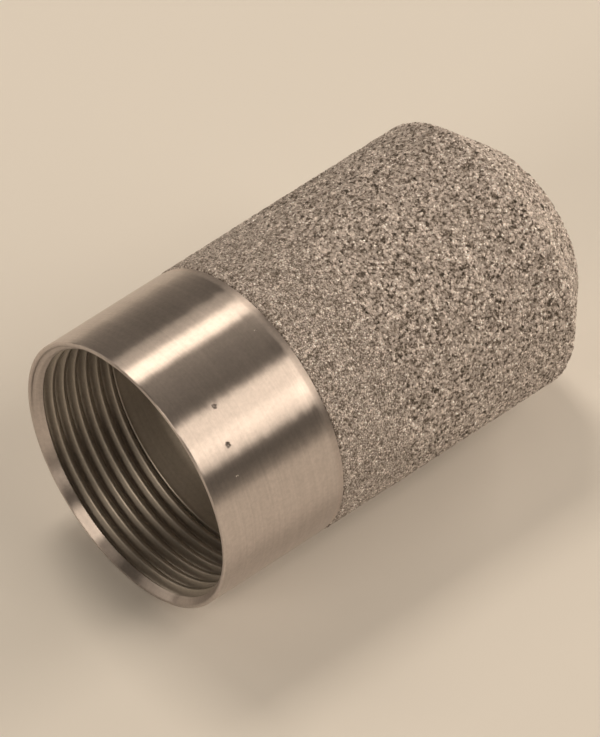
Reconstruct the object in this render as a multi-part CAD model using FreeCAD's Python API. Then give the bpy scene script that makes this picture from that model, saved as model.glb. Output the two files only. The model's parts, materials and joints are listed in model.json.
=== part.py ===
import FreeCAD, Part
import math
import os

from FreeCAD import Vector

# Pneumatic muffler: a turned stainless collar with an internal metric fine thread, and a porous
# sintered cup that covers the collar's spigot and closes the gas path.
# The part's axis is +X. The origin is the centre of the collar's open face, and the closed nose
# points along +X. All sizes are in millimetres.

# Thread, ISO metric fine M30 x 1.5, cut inside the collar's mouth
thread_major_r = 15.0
thread_pitch = 1.5
thread_flank_angle = 30
thread_end_x = 10.15
first_crest_x = 2.14
# Angle about +X from +Y at which the first crest has that place
first_crest_angle = 297.5
# How far the thread's cutter stands out of the bore, so that its cut is clean
cutter_overlap = 0.15

# Collar
collar_r = 15.5
collar_face_x = 16.0
mouth_chamfer_axial = 1.0
mouth_chamfer_radial = 0.9
outer_edge_break = 0.2
joint_taper_length = 1.0
joint_taper_depth = 0.1
plain_bore_end_x = 14.0

# Spigot inside the cup, with the grooves that the sintered body keys into
spigot_r = 13.0
spigot_bore_r = 12.0
spigot_length = 9.0
key_groove_count = 3
key_groove_spacing = 2.2
key_groove_width = 1.0
key_groove_depth = 0.4

# Porous cup
cup_r = 15.55
cup_wall = 2.55
overall_length = 53.3
nose_length = 5.7
shoulder_radius = 0.8
nose_edge_radius = 0.6

quarter_turn = 90
full_turn = 360
same_place = 0.01

# An ISO internal thread is 5/8 as deep as its sharp triangle, and flat for 1/8 of the pitch at its root
flank_slope = math.tan(math.radians(thread_flank_angle))
thread_depth = 5 / 8 * thread_pitch / 2 / flank_slope
thread_minor_r = thread_major_r - thread_depth
root_half_width = thread_pitch / 16

# A 45 degree wall measures this much more along the axis than across
diagonal = math.sqrt(2)

spigot_end_x = collar_face_x + spigot_length
cup_shoulder_x = overall_length - nose_length
nose_flat_r = cup_r - nose_length
key_groove_starts = [
    collar_face_x + spigot_length / 2 + (i - (key_groove_count - 1) / 2) * key_groove_spacing
    - key_groove_width / 2
    for i in range(key_groove_count)
]


def revolve(profile):
    """Turn a closed list of (axial, radius) points about the Z axis, which is laid along X later."""
    points = [Vector(r, 0, z) for z, r in profile]
    face = Part.Face(Part.makePolygon(points + [points[0]]))
    return face.revolve(Vector(0, 0, 0), Vector(0, 0, 1), full_turn)


def lay_along_x(shape):
    """Turn a shape made about +Z so that its axis runs along +X."""
    laid = shape.copy()
    laid.rotate(Vector(0, 0, 0), Vector(0, 1, 0), quarter_turn)
    return laid


def key_steps(forward):
    """The spigot's outer line through its key grooves, towards the nose or back to the collar."""
    bottom_r = spigot_r - key_groove_depth
    steps = []
    for start in key_groove_starts:
        end = start + key_groove_width
        steps += [(start, spigot_r), (start, bottom_r), (end, bottom_r), (end, spigot_r)]
    return steps if forward else steps[::-1]


def thread_cutter():
    """The helical groove of the thread as a solid, ended by a flat face at thread_end_x."""
    run_in = 2 * thread_pitch
    half_mouth = root_half_width + (thread_depth + cutter_overlap) * flank_slope
    inner_r = thread_minor_r - cutter_overlap
    helix = Part.makeHelix(thread_pitch, thread_end_x + 2 * run_in, thread_minor_r)
    groove = Part.makePolygon([
        Vector(inner_r, 0, -half_mouth),
        Vector(thread_major_r, 0, -root_half_width),
        Vector(thread_major_r, 0, root_half_width),
        Vector(inner_r, 0, half_mouth),
        Vector(inner_r, 0, -half_mouth),
    ])
    sweep = Part.Wire(helix).makePipeShell([groove], True, True)
    sweep.translate(Vector(0, 0, -run_in))
    first_groove_x = first_crest_x - thread_pitch / 2
    turns_before = (first_groove_x + run_in) / thread_pitch
    start_angle = first_crest_angle + quarter_turn - full_turn * turns_before
    sweep.rotate(Vector(0, 0, 0), Vector(0, 0, 1), start_angle)
    stop = Part.makeCylinder(collar_r, thread_end_x + run_in, Vector(0, 0, -run_in))
    return sweep.common(stop)


def threaded_collar():
    """Turned collar: chamfered and threaded mouth, plain bore, conical step and grooved spigot."""
    cone_end_x = plain_bore_end_x + thread_minor_r - spigot_bore_r
    blank = revolve([
        (0, thread_minor_r + mouth_chamfer_radial),
        (0, collar_r - outer_edge_break),
        (outer_edge_break, collar_r),
        (collar_face_x - joint_taper_length, collar_r),
        (collar_face_x, collar_r - joint_taper_depth),
        (collar_face_x, spigot_r),
    ] + key_steps(True) + [
        (spigot_end_x, spigot_r),
        (spigot_end_x, spigot_bore_r),
        (cone_end_x, spigot_bore_r),
        (plain_bore_end_x, thread_minor_r),
        (mouth_chamfer_axial, thread_minor_r),
    ])
    return blank.cut(thread_cutter())


def porous_cup():
    """Sintered cup: straight wall keyed over the spigot, conical nose and flat closed end."""
    inner_cone_sum = cup_shoulder_x + cup_r - cup_wall * diagonal
    inner_end_x = overall_length - cup_wall
    cavity_r = cup_r - cup_wall
    cup = revolve([
        (collar_face_x, cup_r),
        (cup_shoulder_x, cup_r),
        (overall_length, nose_flat_r),
        (overall_length, 0),
        (inner_end_x, 0),
        (inner_end_x, inner_cone_sum - inner_end_x),
        (inner_cone_sum - cavity_r, cavity_r),
        (spigot_end_x, cavity_r),
    ] + key_steps(False) + [
        (collar_face_x, spigot_r),
    ])
    return round_nose(cup)


def round_nose(cup):
    """Round the two outer edges of the conical nose."""
    for axial, radius, rounding in (
        (cup_shoulder_x, cup_r, shoulder_radius),
        (overall_length, nose_flat_r, nose_edge_radius),
    ):
        rims = [
            edge for edge in cup.Edges
            if isinstance(edge.Curve, Part.Circle)
            and abs(edge.Curve.Radius - radius) < same_place
            and abs(edge.Curve.Center.z - axial) < same_place
        ]
        cup = cup.makeFillet(rounding, rims)
    return cup


def export(name, shape):
    laid = lay_along_x(shape)
    print(name, "solids", len(laid.Solids), "valid", laid.isValid(), "volume", round(laid.Volume, 1))
    laid.exportStep("parts/" + name + ".step")


os.makedirs("parts", exist_ok=True)
export("threaded_collar", threaded_collar())
export("porous_cup", porous_cup())
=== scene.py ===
import json
import math

import bpy
import numpy as np
from mathutils import Matrix, Vector


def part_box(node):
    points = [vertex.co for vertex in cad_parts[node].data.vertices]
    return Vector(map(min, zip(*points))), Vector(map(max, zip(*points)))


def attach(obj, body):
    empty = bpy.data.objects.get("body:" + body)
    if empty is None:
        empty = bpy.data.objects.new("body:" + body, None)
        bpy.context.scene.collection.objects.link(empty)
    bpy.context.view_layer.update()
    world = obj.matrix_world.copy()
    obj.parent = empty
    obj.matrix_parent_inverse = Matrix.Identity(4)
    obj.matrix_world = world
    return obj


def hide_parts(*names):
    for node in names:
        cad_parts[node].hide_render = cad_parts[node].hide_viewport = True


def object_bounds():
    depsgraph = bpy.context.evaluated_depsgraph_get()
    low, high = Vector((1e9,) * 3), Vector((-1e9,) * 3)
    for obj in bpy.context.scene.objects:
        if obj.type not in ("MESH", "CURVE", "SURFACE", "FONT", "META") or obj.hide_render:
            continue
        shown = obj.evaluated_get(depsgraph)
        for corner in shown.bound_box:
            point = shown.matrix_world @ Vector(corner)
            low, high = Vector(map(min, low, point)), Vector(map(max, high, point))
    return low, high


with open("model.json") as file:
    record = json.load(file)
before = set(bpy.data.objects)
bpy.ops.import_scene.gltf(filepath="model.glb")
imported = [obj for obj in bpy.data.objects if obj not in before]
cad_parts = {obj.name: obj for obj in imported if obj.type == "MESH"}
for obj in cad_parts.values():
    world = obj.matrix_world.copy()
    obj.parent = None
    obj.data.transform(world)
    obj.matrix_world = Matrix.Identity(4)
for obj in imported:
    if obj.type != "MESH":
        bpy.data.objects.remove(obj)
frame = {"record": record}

CAD_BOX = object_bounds()
MM = 0.001
TAU = 2 * math.pi

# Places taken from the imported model, in millimetres
_, COLLAR_HIGH = (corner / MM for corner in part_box("threaded_collar"))
CUP_LOW, CUP_HIGH = (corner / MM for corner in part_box("porous_cup"))
THREAD = next(m for m in frame["record"]["mounts"] if m["name"] == "port_thread")
COLLAR_R = COLLAR_HIGH.z
CUP_R = CUP_HIGH.z
JOINT_X = CUP_LOW.x
SPIGOT_END_X = COLLAR_HIGH.x
NOSE_X = CUP_HIGH.x
MINOR_R = THREAD["dims"]["r_mm"]

# Thread and mouth, in millimetres, as in the CAD model. An ISO internal thread is 5/8 as deep as
# its sharp triangle, and its crest is flat for a quarter of the pitch.
PITCH = 1.5
FLANK_SLOPE = math.tan(math.radians(30))
THREAD_DEPTH = 5 / 8 * PITCH / 2 / FLANK_SLOPE
HALF_CREST = PITCH / 8
THREAD_END_X = 10.15
FIRST_CREST_X = 2.14
FIRST_CREST_ANGLE = math.radians(297.5)
CHAMFER_AXIAL = 1.0
CHAMFER_RADIAL = 0.9
PLAIN_BORE_END_X = 14.0
SPIGOT_R = 13.0
SPIGOT_BORE_R = 12.0
# The collar draws in a little where the cup meets it
TAPER_LENGTH = 1.0
TAPER_DEPTH = 0.1

# Cup, in millimetres, as in the CAD model. Its nose is a 45 degree cone with a flat end.
CUP_WALL = 2.55
NOSE_LENGTH = 5.7
SHOULDER_RADIUS = 0.8
NOSE_EDGE_RADIUS = 0.6

# How many points the largest rings have, and how far apart points are in millimetres
COLLAR_POINTS_AROUND = 360
CUP_POINTS_AROUND = 768
GRAIN_STEP = 0.13
CAVITY_STEP = 0.4


# ---------------------------------------------------------------- meshes from rings

def ring(x, radius, angles):
    """Points around the X axis at one axial place; radius is one number or one for each angle."""
    r = np.broadcast_to(radius, angles.shape)
    return np.stack([np.full(angles.shape, float(x)), r * np.cos(angles), r * np.sin(angles)], 1)


def even_angles(count):
    """Angles all the way around, in radians."""
    return np.arange(count) * TAU / count


def stitch(first, second, start_a, start_b):
    """Faces between two closed rings with the same number of points, or one with twice as many."""
    a, b = len(first), len(second)
    if a == b:
        i = np.arange(a)
        j = (i + 1) % a
        return [tuple(f) for f in np.stack([start_a + i, start_b + i, start_b + j, start_a + j], 1)]
    faces = []
    few, many, start_few, start_many = (
        (a, b, start_a, start_b) if a < b else (b, a, start_b, start_a)
    )
    for i in range(few):
        here, after = start_few + i, start_few + (i + 1) % few
        left, middle = start_many + 2 * i, start_many + 2 * i + 1
        right = start_many + (2 * i + 2) % many
        trio = [(here, left, middle), (here, middle, after), (after, middle, right)]
        faces += trio if a < b else [t[::-1] for t in trio]
    return faces


def object_from_rings(name, rings, closed=False, poles=()):
    """A mesh through the rings in order. closed joins the last to the first; poles cap both ends."""
    starts = np.cumsum([0] + [len(r) for r in rings])
    points = np.concatenate(rings)
    faces = []
    pairs = list(zip(range(len(rings) - 1), range(1, len(rings))))
    if closed:
        pairs.append((len(rings) - 1, 0))
    for a, b in pairs:
        faces += stitch(rings[a], rings[b], starts[a], starts[b])
    if poles:
        first_pole, last_pole = len(points), len(points) + 1
        points = np.concatenate([points, np.array(poles, float)])
        count = len(rings[0])
        faces += [(first_pole, i, (i + 1) % count) for i in range(count)]
        count, start = len(rings[-1]), starts[len(rings) - 1]
        faces += [(last_pole, start + (i + 1) % count, start + i) for i in range(count)]
    mesh = bpy.data.meshes.new(name)
    mesh.from_pydata((points * MM).tolist(), [], faces)
    mesh.polygons.foreach_set("use_smooth", [True] * len(mesh.polygons))
    mesh.update()
    obj = bpy.data.objects.new(name, mesh)
    bpy.context.scene.collection.objects.link(obj)
    return obj


def arc(centre_x, centre_r, radius, start, end, count):
    """(x, r) points of an arc in the half plane through the axis; angles in degrees from +X."""
    turn = np.radians(np.linspace(start, end, count))
    return list(zip(centre_x + radius * np.cos(turn), centre_r + radius * np.sin(turn)))


def straight(start, end, step):
    """(x, r) points from start to end, about step apart, without the end point."""
    count = max(1, round(math.dist(start, end) / step))
    return [tuple(p) for p in np.linspace(start, end, count, endpoint=False)]


# ---------------------------------------------------------------- collar

def soft_min(a, b, width):
    """The smaller of a and b, rounded where they cross."""
    mix = np.clip(0.5 + 0.5 * (b - a) / width, 0, 1)
    return b * (1 - mix) + a * mix - width * mix * (1 - mix)


def soft_max(a, b, width):
    """The larger of a and b, rounded where they cross."""
    return -soft_min(-a, -b, width)


def bore_radius(x, angles):
    """Radius of the mouth's inner wall: chamfer, right-hand thread with worn crests, plain bore."""
    crest_rounding = 0.14
    root_rounding = 0.28
    end_rounding = 0.18
    chamfer_rounding = 0.05
    turns = (x - FIRST_CREST_X) / PITCH - (angles - FIRST_CREST_ANGLE) / TAU
    from_crest = np.abs(turns - np.round(turns)) * PITCH
    flank = (from_crest - HALF_CREST) / FLANK_SLOPE
    groove = soft_max(flank, 0.0, crest_rounding)
    groove = soft_min(groove, THREAD_DEPTH, root_rounding)
    past_end = x - THREAD_END_X
    if past_end >= end_rounding:
        groove = groove * 0
    elif past_end >= 0:
        left = end_rounding - past_end
        deepest = end_rounding - math.sqrt(end_rounding ** 2 - left ** 2)
        groove = np.minimum(groove, deepest)
    chamfer = CHAMFER_RADIAL * (1 - x / CHAMFER_AXIAL)
    return MINOR_R + soft_max(groove, np.full(angles.shape, chamfer), chamfer_rounding)


def build_collar():
    """The collar's whole skin, from the mouth's lip over the barrel and spigot and back through the bore."""
    angles = even_angles(COLLAR_POINTS_AROUND)
    lip_r = 0.15
    edge = 0.06
    clear_of_lip = 0.1
    barrel_step, taper_step, spigot_step, bore_step, cone_step = 3.0, 0.15, 2.0, 1.0, 0.5
    lip_points, joint_points, spigot_points = 7, 4, 3
    taper_start = (JOINT_X - TAPER_LENGTH, COLLAR_R)
    taper_end = (JOINT_X - edge, COLLAR_R - TAPER_DEPTH)
    barrel = (
        arc(lip_r, COLLAR_R - lip_r, lip_r, 180, 90, lip_points)
        + straight((lip_r + clear_of_lip, COLLAR_R), taper_start, barrel_step)
        + straight(taper_start, taper_end, taper_step)
        + arc(JOINT_X - edge, COLLAR_R - TAPER_DEPTH - edge, edge, 90, 0, joint_points)
    )
    spigot = (
        straight((JOINT_X, SPIGOT_R), (SPIGOT_END_X - edge, SPIGOT_R), spigot_step)
        + arc(SPIGOT_END_X - edge, SPIGOT_R - edge, edge, 90, 0, spigot_points)
        + arc(SPIGOT_END_X - edge, SPIGOT_BORE_R + edge, edge, 0, -90, spigot_points)
    )
    # A 45 degree step joins the spigot's bore to the wider plain bore
    clear_of_edge = 0.2
    cone_end_x = PLAIN_BORE_END_X + MINOR_R - SPIGOT_BORE_R
    bore = (
        straight((SPIGOT_END_X - clear_of_edge, SPIGOT_BORE_R), (cone_end_x, SPIGOT_BORE_R), bore_step)
        + straight((cone_end_x, SPIGOT_BORE_R), (PLAIN_BORE_END_X, MINOR_R), cone_step)
    )
    rings = [ring(x, r, angles) for x, r in barrel + spigot + bore]
    # The rings stand close together in the thread and closest where it runs out
    plain_step, run_out_step, thread_step = 0.5, 0.025, 0.05
    run_out, gap, hair, clear_of_hair = 0.2, 0.3, 0.001, 0.03
    mouth_x = 0.0
    thread_x = np.concatenate([
        np.arange(PLAIN_BORE_END_X - gap, THREAD_END_X + gap, -plain_step),
        np.arange(THREAD_END_X + run_out, THREAD_END_X, -run_out_step),
        [THREAD_END_X + hair, THREAD_END_X - hair],
        np.arange(THREAD_END_X - clear_of_hair, mouth_x, -thread_step),
        [mouth_x],
    ])
    rings += [ring(x, bore_radius(x, angles), angles) for x in thread_x]
    return object_from_rings("collar", rings[::-1], closed=True)


def mark_bore(collar):
    """Give the faces inside the mouth, past the chamfer, the second material."""
    clear_of_root = 0.05
    bored_r = MINOR_R + THREAD_DEPTH + clear_of_root
    for face in collar.data.polygons:
        x, y, z = face.center / MM
        if x > CHAMFER_AXIAL and math.hypot(y, z) < bored_r:
            face.material_index = 1


# ---------------------------------------------------------------- sintered cup

# Large odd multipliers that scramble whole numbers; their values have no other meaning
CELL_MIXERS = (73856093, 19349663, 83492791)
SALT_MIXER = 2654435761
FIRST_MIXER, SECOND_MIXER = 0x2C1B3C6D, 0x297A2D39
LOW_32_BITS, LOW_24_BITS = 0xFFFFFFFF, 0xFFFFFF


def hash_3d(cells, salt):
    """A repeatable value from 0 to 1 for each row of whole numbers."""
    h = salt * SALT_MIXER
    for axis, mixer in enumerate(CELL_MIXERS):
        h = h ^ (cells[:, axis] * mixer)
    h &= LOW_32_BITS
    h = ((h ^ (h >> 15)) * FIRST_MIXER) & LOW_32_BITS
    h = ((h ^ (h >> 12)) * SECOND_MIXER) & LOW_32_BITS
    return ((h ^ (h >> 15)) & LOW_24_BITS) / (LOW_24_BITS + 1)


def smooth_noise(points, size, salt):
    """Value noise from -1 to 1 that changes over about size millimetres."""
    p = points / size
    base = np.floor(p).astype(np.int64)
    f = p - base
    f = f * f * (3 - 2 * f)
    total = np.zeros(len(p))
    for corner in np.ndindex(2, 2, 2):
        weight = np.prod(np.where(np.array(corner) == 1, f, 1 - f), axis=1)
        total += weight * hash_3d(base + corner, salt)
    return 2 * total - 1


def grain_height(points, normals, size, salt):
    """How far the outermost grain stands over each surface point, for grains about size across."""
    smallest, spread = 0.42, 0.28
    buried = 0.15 * size
    limit = 0.5 * size
    cells = np.floor(points / size).astype(np.int64)
    best = np.full(len(points), -limit)
    for step in np.ndindex(3, 3, 3):
        cell = cells + (np.array(step) - 1)
        centre = (cell + np.stack([hash_3d(cell, salt + k) for k in range(3)], 1)) * size
        radius = size * (smallest + spread * hash_3d(cell, salt + 3))
        offset = centre - points
        along = np.einsum("ij,ij->i", offset, normals)
        across = np.einsum("ij,ij->i", offset, offset) - along ** 2
        inside = across < radius ** 2
        top = along + np.sqrt(np.where(inside, radius ** 2 - across, 0))
        best = np.where(inside & (top > best) & (along < buried), top, best)
    return np.clip(best, -limit, limit)


# The band of finer grain ends over the end of the spigot
BAND_END_X = SPIGOT_END_X - 0.2
FINE_GRAIN = 0.26
COARSE_GRAIN = 0.42


def roughen(points, normals):
    """Push the smooth surface in and out to the shape of sintered grains, finer in the band by the collar."""
    warp_salt, fine_salt, coarse_salt, edge_salt = 11, 21, 31, 41
    warp_size, warp_by = 0.3, 0.05
    edge_size, edge_by, edge_width = 1.1, 0.25, 0.5
    relief_in_band, coarse_relief, fine_relief = 0.42, 0.45, 0.12
    sunk = 0.05
    warp = np.stack([smooth_noise(points, warp_size, warp_salt + k) for k in range(3)], 1) * warp_by
    fine = grain_height(points + warp, normals, FINE_GRAIN, fine_salt)
    coarse = grain_height(points + warp, normals, COARSE_GRAIN, coarse_salt)
    edge = BAND_END_X + edge_by * smooth_noise(points, edge_size, edge_salt)
    share = np.clip((points[:, 0] - edge) / edge_width + 0.5, 0, 1)
    in_band = relief_in_band * fine
    past_band = coarse_relief * coarse + fine_relief * fine
    height = (1 - share) * in_band + share * past_band
    return points + normals * (height - sunk)[:, None]


def cup_outline():
    """(x, r, nx, nr) along the outside of the cup, from the nose's centre to the joint."""
    cone_turn = 45
    arc_step = 9
    clear_of_joint = 0.05
    shoulder_x = NOSE_X - NOSE_LENGTH
    flat_r = CUP_R - NOSE_LENGTH
    cut = math.tan(math.radians(cone_turn / 2))
    cut_small, cut_large = NOSE_EDGE_RADIUS * cut, SHOULDER_RADIUS * cut
    diagonal = math.sqrt(0.5)
    flat = straight((0, GRAIN_STEP), (0, flat_r - cut_small), GRAIN_STEP)
    line = [(NOSE_X, r, 1, 0) for _, r in flat]
    small = (NOSE_X - NOSE_EDGE_RADIUS, flat_r - cut_small)
    large = (shoulder_x - cut_large, CUP_R - SHOULDER_RADIUS)
    for turn in np.radians(np.arange(0, cone_turn, arc_step)):
        c, s = math.cos(turn), math.sin(turn)
        line.append((small[0] + NOSE_EDGE_RADIUS * c, small[1] + NOSE_EDGE_RADIUS * s, c, s))
    cone_start = (small[0] + NOSE_EDGE_RADIUS * diagonal, small[1] + NOSE_EDGE_RADIUS * diagonal)
    cone_end = (large[0] + SHOULDER_RADIUS * diagonal, large[1] + SHOULDER_RADIUS * diagonal)
    line += [(x, r, diagonal, diagonal) for x, r in straight(cone_start, cone_end, GRAIN_STEP)]
    for turn in np.radians(np.arange(cone_turn, 90, arc_step)):
        c, s = math.cos(turn), math.sin(turn)
        line.append((large[0] + SHOULDER_RADIUS * c, large[1] + SHOULDER_RADIUS * s, c, s))
    side = straight((large[0], CUP_R), (JOINT_X + clear_of_joint, CUP_R), GRAIN_STEP)
    line += [(x, r, 0, 1) for x, r in side]
    return line


def ring_count(radius, finest, step):
    """A whole halving of the finest count that keeps neighbours about step apart."""
    fewest = 12
    slack = 1.25
    count = finest
    while count > fewest and TAU * radius / (count // 2) <= step * slack:
        count //= 2
    return count


def build_cup():
    """The cup's whole skin: the rough outside from the nose to the joint, then the cavity's wall."""
    rings = []
    for x, r, nx, nr in cup_outline():
        angles = even_angles(ring_count(r, CUP_POINTS_AROUND, GRAIN_STEP))
        points = ring(x, r, angles)
        along = np.full(len(angles), float(nx))
        normals = np.stack([along, nr * np.cos(angles), nr * np.sin(angles)], 1)
        rings.append(roughen(points, normals))

    # The end face at the joint has fewer points around with each step inwards
    outer_count, middle_count, inner_count = CUP_POINTS_AROUND, CUP_POINTS_AROUND // 2, CUP_POINTS_AROUND // 4
    face_x = JOINT_X + 0.01
    fit_gap = 0.02
    rim_inset, second_inset = 0.25, 0.6
    for r, count in (
        (CUP_R - rim_inset, outer_count),
        (CUP_R - second_inset, outer_count),
        ((CUP_R + SPIGOT_R) / 2, middle_count),
        (SPIGOT_R + fit_gap, inner_count),
    ):
        rings.append(ring(face_x, r, even_angles(count)))

    # The wall is equally thick along the cavity's 45 degree cone
    cavity_r = CUP_R - CUP_WALL
    inner_end_x = NOSE_X - CUP_WALL
    cone_sum = NOSE_X - NOSE_LENGTH + CUP_R - CUP_WALL * math.sqrt(2)
    cone_start = (cone_sum - cavity_r, cavity_r)
    cone_end = (inner_end_x, cone_sum - inner_end_x)
    covered_start, covered_step = 0.5, 3.0
    over_spigot_r = cavity_r + fit_gap
    inside = (
        straight((JOINT_X + covered_start, over_spigot_r), (SPIGOT_END_X, over_spigot_r), covered_step)
        + straight((SPIGOT_END_X, cavity_r), cone_start, CAVITY_STEP)
        + straight(cone_start, cone_end, CAVITY_STEP)
        + straight(cone_end, (inner_end_x, CAVITY_STEP), CAVITY_STEP)
    )
    roughness_depth, roughness_size, roughness_salt = 0.12, 0.5, 61
    for x, r in inside:
        angles = even_angles(ring_count(r, inner_count, CAVITY_STEP))
        points = ring(x, r, angles)
        if x > SPIGOT_END_X:
            inward = np.stack([np.zeros(len(angles)), -np.cos(angles), -np.sin(angles)], 1)
            height = roughness_depth * smooth_noise(points, roughness_size, roughness_salt)
            points = points + inward * height[:, None]
        rings.append(points)
    nose_dip = 0.05
    poles = ((NOSE_X - nose_dip, 0, 0), (inner_end_x, 0, 0))
    return object_from_rings("sintered_cup", rings, poles=poles)


# ---------------------------------------------------------------- materials

# Most of a noise's values lie between these
NOISE_RANGE = (0.3, 0.7)
FULL_RANGE = (0, 1)


class Shading:
    """A new material, with short ways to add its nodes. Sockets or plain values go in, sockets come out."""

    def __init__(self, name):
        self.material = bpy.data.materials.new(name)
        self.material.use_nodes = True
        self.nodes = self.material.node_tree.nodes
        self.links = self.material.node_tree.links
        self.surface = self.nodes["Principled BSDF"].inputs

    def feed(self, slot, value):
        """Link a socket to the slot, or set the slot to a plain number, triple or colour."""
        if isinstance(value, bpy.types.NodeSocket):
            self.links.new(value, slot)
        else:
            slot.default_value = value

    def math(self, operation, *values):
        """One step of arithmetic."""
        node = self.nodes.new("ShaderNodeMath")
        node.operation = operation
        for slot, value in zip(node.inputs, values):
            self.feed(slot, value)
        return node.outputs[0]

    def vector(self, operation, *values, output="Vector"):
        """One step of arithmetic on vectors."""
        node = self.nodes.new("ShaderNodeVectorMath")
        node.operation = operation
        for slot, value in zip(node.inputs, values):
            self.feed(slot, value)
        return node.outputs[output]

    def scaled(self, vector, factor):
        """A vector or colour times a number."""
        node = self.nodes.new("ShaderNodeVectorMath")
        node.operation = "SCALE"
        self.feed(node.inputs[0], vector)
        self.feed(node.inputs["Scale"], factor)
        return node.outputs[0]

    def remap(self, value, source, target):
        """Carry a value from the source range to the target range, held at the target's ends."""
        node = self.nodes.new("ShaderNodeMapRange")
        self.feed(node.inputs["Value"], value)
        for slot, end in zip(("From Min", "From Max", "To Min", "To Max"), (*source, *target)):
            self.feed(node.inputs[slot], end)
        return node.outputs["Result"]

    def millimetres(self):
        """Object coordinates in millimetres."""
        place = self.nodes.new("ShaderNodeTexCoord")
        return self.scaled(place.outputs["Object"], 1 / MM)

    def along_axis(self, place):
        """A place's distance along X."""
        node = self.nodes.new("ShaderNodeSeparateXYZ")
        self.links.new(place, node.inputs[0])
        return node.outputs["X"]

    def noise(self, place, size, detail, roughness=0.5, output="Fac"):
        """Noise that changes over about size millimetres."""
        node = self.nodes.new("ShaderNodeTexNoise")
        node.inputs["Scale"].default_value = 1 / size
        node.inputs["Detail"].default_value = detail
        node.inputs["Roughness"].default_value = roughness
        self.links.new(place, node.inputs["Vector"])
        return node.outputs[output]

    def rings(self, place, ring_width, stretch):
        """Noise made of rings about ring_width apart along X that change slowly around the part."""
        squeezed = self.vector("MULTIPLY", place, (1 / ring_width, stretch, stretch))
        return self.noise(squeezed, size=1.0, detail=1)

    def grains(self, place, size):
        """Cells about size millimetres across: the distance from each one's middle, and its own colour."""
        node = self.nodes.new("ShaderNodeTexVoronoi")
        node.inputs["Scale"].default_value = 1 / size
        self.links.new(place, node.inputs["Vector"])
        return node.outputs["Distance"], node.outputs["Color"]

    def three_values(self, colour):
        """A cell's colour as three separate random values."""
        node = self.nodes.new("ShaderNodeSeparateColor")
        self.links.new(colour, node.inputs[0])
        return node.outputs["Red"], node.outputs["Green"], node.outputs["Blue"]

    def mix(self, share, first, second, kind="FLOAT"):
        """The first value at a share of 0, the second at 1."""
        node = self.nodes.new("ShaderNodeMix")
        node.data_type = kind
        self.feed(node.inputs["Factor"], share)
        self.feed(node.inputs["A"], first)
        self.feed(node.inputs["B"], second)
        return node.outputs["Result"]

    def bump(self, height, distance, normal=None, invert=False):
        """The normal of a surface with this height, in steps of distance metres."""
        node = self.nodes.new("ShaderNodeBump")
        node.invert = invert
        node.inputs["Distance"].default_value = distance
        self.links.new(height, node.inputs["Height"])
        if normal is not None:
            self.links.new(normal, node.inputs["Normal"])
        return node.outputs[0]


# Dents on the collar: place along X, angle around X and radius
DENTS = ((5.1, 121, 0.32), (4.2, 136, 0.34), (14.1, 105, 0.15), (3.7, 148, 0.15))


def dent_depth(shading, place):
    """How deep each dent is, from 0 at its ragged rim to 1 at its middle."""
    ragged_by = 0.4
    ragged_middle = ragged_by / 2
    wobble = shading.noise(place, size=0.2, detail=2)
    bowls = []
    for x, angle, radius in DENTS:
        turn = math.radians(angle)
        spot = (x, COLLAR_R * math.cos(turn), COLLAR_R * math.sin(turn))
        distance = shading.vector("DISTANCE", place, spot, output="Value")
        ragged = shading.math("MULTIPLY_ADD", wobble, ragged_by, distance)
        bowls.append(shading.remap(ragged, (ragged_middle, ragged_middle + radius), (1, 0)))
    depth = bowls[0]
    for bowl in bowls[1:]:
        depth = shading.math("MAXIMUM", depth, bowl)
    return depth


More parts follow.
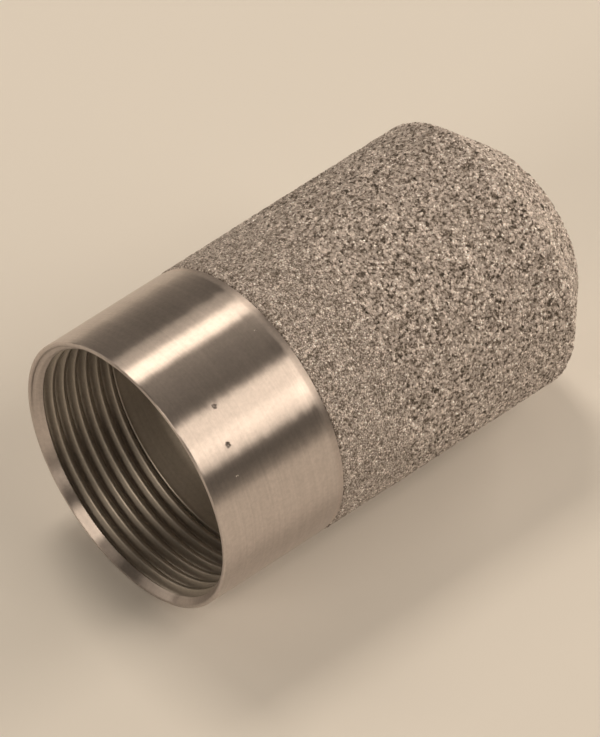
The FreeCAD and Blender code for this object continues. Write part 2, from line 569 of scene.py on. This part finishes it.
def steel_material(name, colour, roughness, anisotropy, mark_depth, matt_and_painted_light_from, dented=False):
    """Steel cut on a lathe: its turning marks run around X, so highlights stretch along X.

    Past the given place along X, the cut is duller, and its colour is made lighter as painted light.
    """
    shading = Shading(name)
    surface = shading.surface
    place = shading.millimetres()
    surface["Metallic"].default_value = 1.0
    surface["Anisotropic"].default_value = anisotropy
    surface["Anisotropic Rotation"].default_value = 0.25
    around = shading.nodes.new("ShaderNodeTangent")
    around.direction_type = "RADIAL"
    around.axis = "X"
    tangent = around.outputs["Tangent"]
    shading.links.new(tangent, surface["Tangent"])

    # The wide marks tilt the surface a little from ring to ring
    marks = shading.rings(place, ring_width=0.26, stretch=0.1)
    wide_marks = shading.rings(place, ring_width=0.6, stretch=0.12)
    tilt = shading.math("MULTIPLY_ADD", wide_marks, mark_depth, -mark_depth / 2)
    facing = shading.nodes.new("ShaderNodeNewGeometry").outputs["Normal"]
    tilted = shading.vector("ADD", facing, shading.scaled(tangent, tilt))
    normal = shading.vector("NORMALIZE", tilted)

    mark_gloss, stain_gloss, matt_gloss = 0.05, 0.03, 0.2
    darkest_mark, mark_shade = 0.9, 0.2
    # The lift in colour past the given place is painted light
    matt_width, painted_light_gain = 0.4, 1.15
    mottle_shade = (0.93, 1.07)
    stains = shading.noise(place, size=3.5, detail=3)
    stained = shading.remap(stains, NOISE_RANGE, (roughness, roughness + stain_gloss))
    gloss = shading.math("MULTIPLY_ADD", wide_marks, mark_gloss, stained)
    shade = shading.math("MULTIPLY_ADD", marks, mark_shade, darkest_mark)
    mottle = shading.noise(place, size=0.4, detail=3, roughness=0.6)
    shade = shading.math("MULTIPLY", shade, shading.remap(mottle, NOISE_RANGE, mottle_shade))
    # Painted light: past the given place the colour is lighter; only the duller cut is real
    matt_and_painted_light = shading.remap(shading.along_axis(place), (matt_and_painted_light_from, matt_and_painted_light_from + matt_width), FULL_RANGE)
    gloss = shading.math("ADD", gloss, shading.math("MULTIPLY", matt_and_painted_light, matt_gloss))
    shade = shading.math("MULTIPLY", shade, shading.remap(matt_and_painted_light, FULL_RANGE, (1, painted_light_gain)))
    if dented:
        # A dent is duller all over, and its wall is darkened as painted shade
        dent_gloss, painted_wall_shade = 0.2, 0.58
        dull_below, steepest = 0.5, 0.25
        dent = dent_depth(shading, place)
        painted_shade_on_wall = shading.math("MULTIPLY", dent, shading.math("SUBTRACT", 1, dent))
        normal = shading.bump(dent, 0.1 * MM, normal, invert=True)
        gloss = shading.math("ADD", gloss, shading.remap(dent, (0, dull_below), (0, dent_gloss)))
        shade = shading.math("MULTIPLY", shade, shading.remap(painted_shade_on_wall, (0, steepest), (1, painted_wall_shade)))
    shading.links.new(shading.scaled(colour, shade), surface["Base Color"])
    shading.links.new(gloss, surface["Roughness"])
    shading.links.new(normal, surface["Normal"])
    return shading.material


def sinter_material():
    """Powder grains: each cell has its own tone and gloss, with painted shade in the gaps and hollows between
    them and a painted glint on a few.
    """
    shading = Shading("sintered_steel")
    surface = shading.surface
    straight_place = shading.millimetres()
    sway_by = (0.16, 0.16, 0.16)
    sway = shading.noise(straight_place, size=0.35, detail=2, output="Color")
    place = shading.vector("MULTIPLY_ADD", sway, sway_by, straight_place)

    # Coarse grain starts past the band beside the collar, at an uneven edge
    edge_by, edge_start, edge_end = 0.5, 0.2, 0.6
    edge = shading.noise(place, size=1.0, detail=1)
    edge = shading.math("MULTIPLY_ADD", edge, edge_by, shading.along_axis(place))
    coarse_share = shading.remap(edge, (BAND_END_X + edge_start, BAND_END_X + edge_end), FULL_RANGE)

    # Each grain is a small dome, with dust on it
    fine_size, coarse_size = 0.2, 0.36
    dome_range, dome_height = (0.15, 0.75), (1, 0)
    fine_on_coarse, dust_height = 0.5, 0.6
    fine_distance, fine_colour = shading.grains(place, fine_size)
    coarse_distance, coarse_colour = shading.grains(place, coarse_size)
    dust = shading.noise(place, size=0.12, detail=1)
    fine_dome = shading.remap(fine_distance, dome_range, dome_height)
    coarse_dome = shading.remap(coarse_distance, dome_range, dome_height)
    both_domes = shading.math("ADD", coarse_dome, shading.math("MULTIPLY", fine_dome, fine_on_coarse))
    height = shading.mix(coarse_share, fine_dome, both_domes)
    dusty_height = shading.math("MULTIPLY_ADD", dust, dust_height, height)
    normal = shading.bump(dusty_height, 0.11 * MM)

    # The gaps between grains are darkened as painted shade, deeper among coarse grains
    fine_tone, fine_gloss, fine_fleck = shading.three_values(fine_colour)
    coarse_tone, _, _ = shading.three_values(coarse_colour)
    darkest_grain, lightest_grain = 0.6, 2.0
    fine_gap_painted_shade, coarse_gap_painted_shade, filled_height = 0.35, 0.12, 0.5
    both_tones = shading.math("ADD", fine_tone, coarse_tone)
    tone = shading.remap(both_tones, (0, 2), (darkest_grain, lightest_grain))
    gap_painted_shade_tone = shading.remap(coarse_share, FULL_RANGE, (fine_gap_painted_shade, coarse_gap_painted_shade))
    gap = shading.remap(height, (0, filled_height), (gap_painted_shade_tone, 1))
    # Painted shade: low places between the domes are darkened
    tone = shading.math("MULTIPLY", tone, gap)
    patch_shade = (0.82, 1.18)
    patches = shading.noise(place, size=0.9, detail=1)
    tone = shading.math("MULTIPLY", tone, shading.remap(patches, NOISE_RANGE, patch_shade))

    # Hollows are missing grains in the coarse part, darkened as painted shade
    hollows = shading.noise(place, size=0.5, detail=1)
    hollow_edge, hollow_painted_shade = (0.3, 0.44), (0.25, 1)
    hollow = shading.remap(hollows, hollow_edge, hollow_painted_shade)
    hollow_painted_darkening = shading.math("MULTIPLY", coarse_share, shading.math("SUBTRACT", 1, hollow))
    tone = shading.math("MULTIPLY", tone, shading.math("SUBTRACT", 1, hollow_painted_darkening))

    # Flecks are the few grains that glint: they are glossier, and their colour is lifted as a painted glint
    fleck_share, painted_glint_tone, fleck_gloss = (0.89, 0.93), 1.9, 0.1
    painted_glint_and_gloss = shading.remap(fine_fleck, fleck_share, FULL_RANGE)
    painted_glint_and_gloss = shading.math("MULTIPLY", painted_glint_and_gloss, hollow)
    tone = shading.math("MULTIPLY", tone, shading.remap(painted_glint_and_gloss, FULL_RANGE, (1, painted_glint_tone)))

    deep_brown, bright_grey = (0.51, 0.42, 0.35, 1), (0.51, 0.46, 0.44, 1)
    brown_to_grey, grain_roughness = (0.3, 1.2), (0.36, 0.62)
    brightness = shading.remap(tone, brown_to_grey, FULL_RANGE)
    hue = shading.mix(brightness, deep_brown, bright_grey, kind="RGBA")
    gloss = shading.remap(fine_gloss, FULL_RANGE, grain_roughness)
    gloss = shading.math("SUBTRACT", gloss, shading.math("MULTIPLY", painted_glint_and_gloss, fleck_gloss))
    shading.links.new(shading.scaled(hue, tone), surface["Base Color"])
    shading.links.new(gloss, surface["Roughness"])
    shading.links.new(normal, surface["Normal"])
    surface["Metallic"].default_value = 0.5
    surface["Diffuse Roughness"].default_value = 1.0
    return shading.material


def floor_material():
    """Plain matt off-white."""
    shading = Shading("pale_floor")
    shading.surface["Base Color"].default_value = FLOOR_COLOUR
    shading.surface["Roughness"].default_value = FLOOR_ROUGHNESS
    return shading.material


# ---------------------------------------------------------------- stage, lights, camera

FLOOR_HALF_WIDTH = 1.0
FLOOR_GAP = 0.0001
FLOOR_COLOUR = (0.92, 0.89, 0.85, 1)
FLOOR_ROUGHNESS = 0.8
WARM_WHITE = (1.0, 0.86, 0.695)
ROOM_STRENGTH = 0.08
WALL_STRENGTH = 0.6
LIGHT_DISTANCE = 1.5

# Name, angles from +X, angles around X and strength of each soft box
SOFTBOXES = (
    ("key", (15, 40), (110, 157), 5.4),
    ("key_low", (15, 30), (157, 175), 4.5),
    ("right_edge", (40, 55), (135, 157), 4.0),
    ("right_panel", (55, 80), (135, 157), 1.6),
    ("overhead", (70, 85), (115, 135), 4.0),
    ("left_strip", (75, 90), (58, 72), 11.5),
    ("left_panel", (75, 90), (45, 58), 2.9),
    ("left_fill", (95, 120), (5, 45), 0.9),
    ("back_left", (15, 35), (5, 78), 3.3),
    ("front", (140, 155), (83, 125), 5.0),
    ("front_left", (140, 165), (45, 75), 0.8),
    ("front_right", (140, 165), (155, 175), 1.5),
)

# The photograph's viewpoint: angles in degrees, lens and sensor in millimetres, the rest in metres
CAMERA_AZIMUTH = -41.17
CAMERA_ELEVATION = 46.79
CAMERA_DISTANCE = 0.9458
CAMERA_SHIFT_RIGHT = 3.27 * MM
CAMERA_SHIFT_UP = 2.45 * MM
CAMERA_LENS = 448.4
CAMERA_SENSOR = 36
CAMERA_CLIP_END = 20
# The camera turns about this place on the axis, nine tenths of the collar's diameter from the mouth
FOCUS_X = 0.9 * 2 * COLLAR_R * MM


def build_floor():
    """A square just under the part."""
    side = FLOOR_HALF_WIDTH
    z = CAD_BOX[0][2] - FLOOR_GAP
    corners = [(-side, -side, z), (side, -side, z), (side, side, z), (-side, side, z)]
    mesh = bpy.data.meshes.new("floor")
    mesh.from_pydata(corners, [], [(0, 1, 2, 3)])
    floor = bpy.data.objects.new("floor", mesh)
    bpy.context.scene.collection.objects.link(floor)
    mesh.materials.append(floor_material())


def add_softbox(name, from_axis, around_axis, strength):
    """A soft box facing the part, between two angles from +X and two around X (0 is +Y, 90 is up).

    Its brightness as seen from the part is strength, however far away it stands.
    """
    lean = math.radians(sum(from_axis) / 2)
    turn = math.radians(sum(around_axis) / 2)
    towards = Vector((math.cos(lean), math.sin(lean) * math.cos(turn), math.sin(lean) * math.sin(turn)))
    height_axis = Vector((0, -math.sin(turn), math.cos(turn)))
    width_axis = height_axis.cross(towards)
    width_angle = math.radians(from_axis[1] - from_axis[0])
    height_angle = math.radians(around_axis[1] - around_axis[0]) * math.sin(lean)
    lamp = bpy.data.lights.new(name, "AREA")
    lamp.shape = "RECTANGLE"
    lamp.size = width_angle * LIGHT_DISTANCE
    lamp.size_y = height_angle * LIGHT_DISTANCE
    lamp.energy = strength * math.pi * lamp.size * lamp.size_y
    lamp.color = WARM_WHITE
    holder = bpy.data.objects.new(name, lamp)
    stand = Matrix((width_axis, height_axis, towards)).transposed().to_4x4()
    stand.translation = Vector((NOSE_X / 2 * MM, 0, 0)) + towards * LIGHT_DISTANCE
    holder.matrix_world = stand
    bpy.context.scene.collection.objects.link(holder)


def build_lights():
    """All the soft boxes."""
    for name, from_axis, around_axis, strength in SOFTBOXES:
        add_softbox(name, from_axis, around_axis, strength)


def build_world():
    """A dim warm room for the light that the soft boxes leave out, with a pale wall behind the floor.

    Only the camera sees the wall; it lights nothing.
    """
    world = bpy.data.worlds.new("studio")
    bpy.context.scene.world = world
    world.use_nodes = True
    nodes, links = world.node_tree.nodes, world.node_tree.links
    room = nodes["Background"]
    room.inputs["Color"].default_value = (*WARM_WHITE, 1)
    room.inputs["Strength"].default_value = ROOM_STRENGTH
    painted_shade_on_wall = nodes.new("ShaderNodeBackground")
    painted_shade_on_wall.inputs["Color"].default_value = (*WARM_WHITE, 1)
    painted_shade_on_wall.inputs["Strength"].default_value = WALL_STRENGTH
    seen = nodes.new("ShaderNodeLightPath")
    either = nodes.new("ShaderNodeMixShader")
    links.new(seen.outputs["Is Camera Ray"], either.inputs["Fac"])
    links.new(room.outputs[0], either.inputs[1])
    links.new(painted_shade_on_wall.outputs[0], either.inputs[2])
    links.new(either.outputs[0], nodes["World Output"].inputs["Surface"])


def build_camera():
    """A long lens from the photograph's side, slid sideways and down so that the part is framed alike."""
    azimuth, elevation = math.radians(CAMERA_AZIMUTH), math.radians(CAMERA_ELEVATION)
    back = Vector((
        math.sin(azimuth) * math.cos(elevation),
        -math.cos(azimuth) * math.cos(elevation),
        math.sin(elevation),
    ))
    right = Vector((math.cos(azimuth), math.sin(azimuth), 0))
    up = back.cross(right)
    aim = Vector((FOCUS_X, 0, 0)) - right * CAMERA_SHIFT_RIGHT - up * CAMERA_SHIFT_UP
    lens = bpy.data.cameras.new("camera")
    lens.lens = CAMERA_LENS
    lens.sensor_width = CAMERA_SENSOR
    lens.clip_end = CAMERA_CLIP_END
    camera = bpy.data.objects.new("camera", lens)
    camera.location = aim + back * CAMERA_DISTANCE
    camera.rotation_euler = back.to_track_quat("Z", "Y").to_euler()
    bpy.context.scene.collection.objects.link(camera)
    bpy.context.scene.camera = camera


# ---------------------------------------------------------------- the part and its stage

collar = build_collar()
turned_steel = steel_material(
    "turned_steel",
    colour=(0.61, 0.545, 0.515),
    roughness=0.28,
    anisotropy=1.0,
    mark_depth=0.04,
    matt_and_painted_light_from=JOINT_X - TAPER_LENGTH,
    dented=True,
)
bored_steel = steel_material(
    "bored_steel",
    colour=(0.505, 0.46, 0.41),
    roughness=0.4,
    anisotropy=0.6,
    mark_depth=0.04,
    matt_and_painted_light_from=THREAD_END_X + 0.1,
)
collar.data.materials.append(turned_steel)
collar.data.materials.append(bored_steel)
mark_bore(collar)
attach(collar, "root")
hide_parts("threaded_collar")

cup = build_cup()
cup.data.materials.append(sinter_material())
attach(cup, "root")
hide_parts("porous_cup")

build_floor()
build_world()
build_lights()
build_camera()
bpy.context.scene.view_settings.view_transform = "Standard"
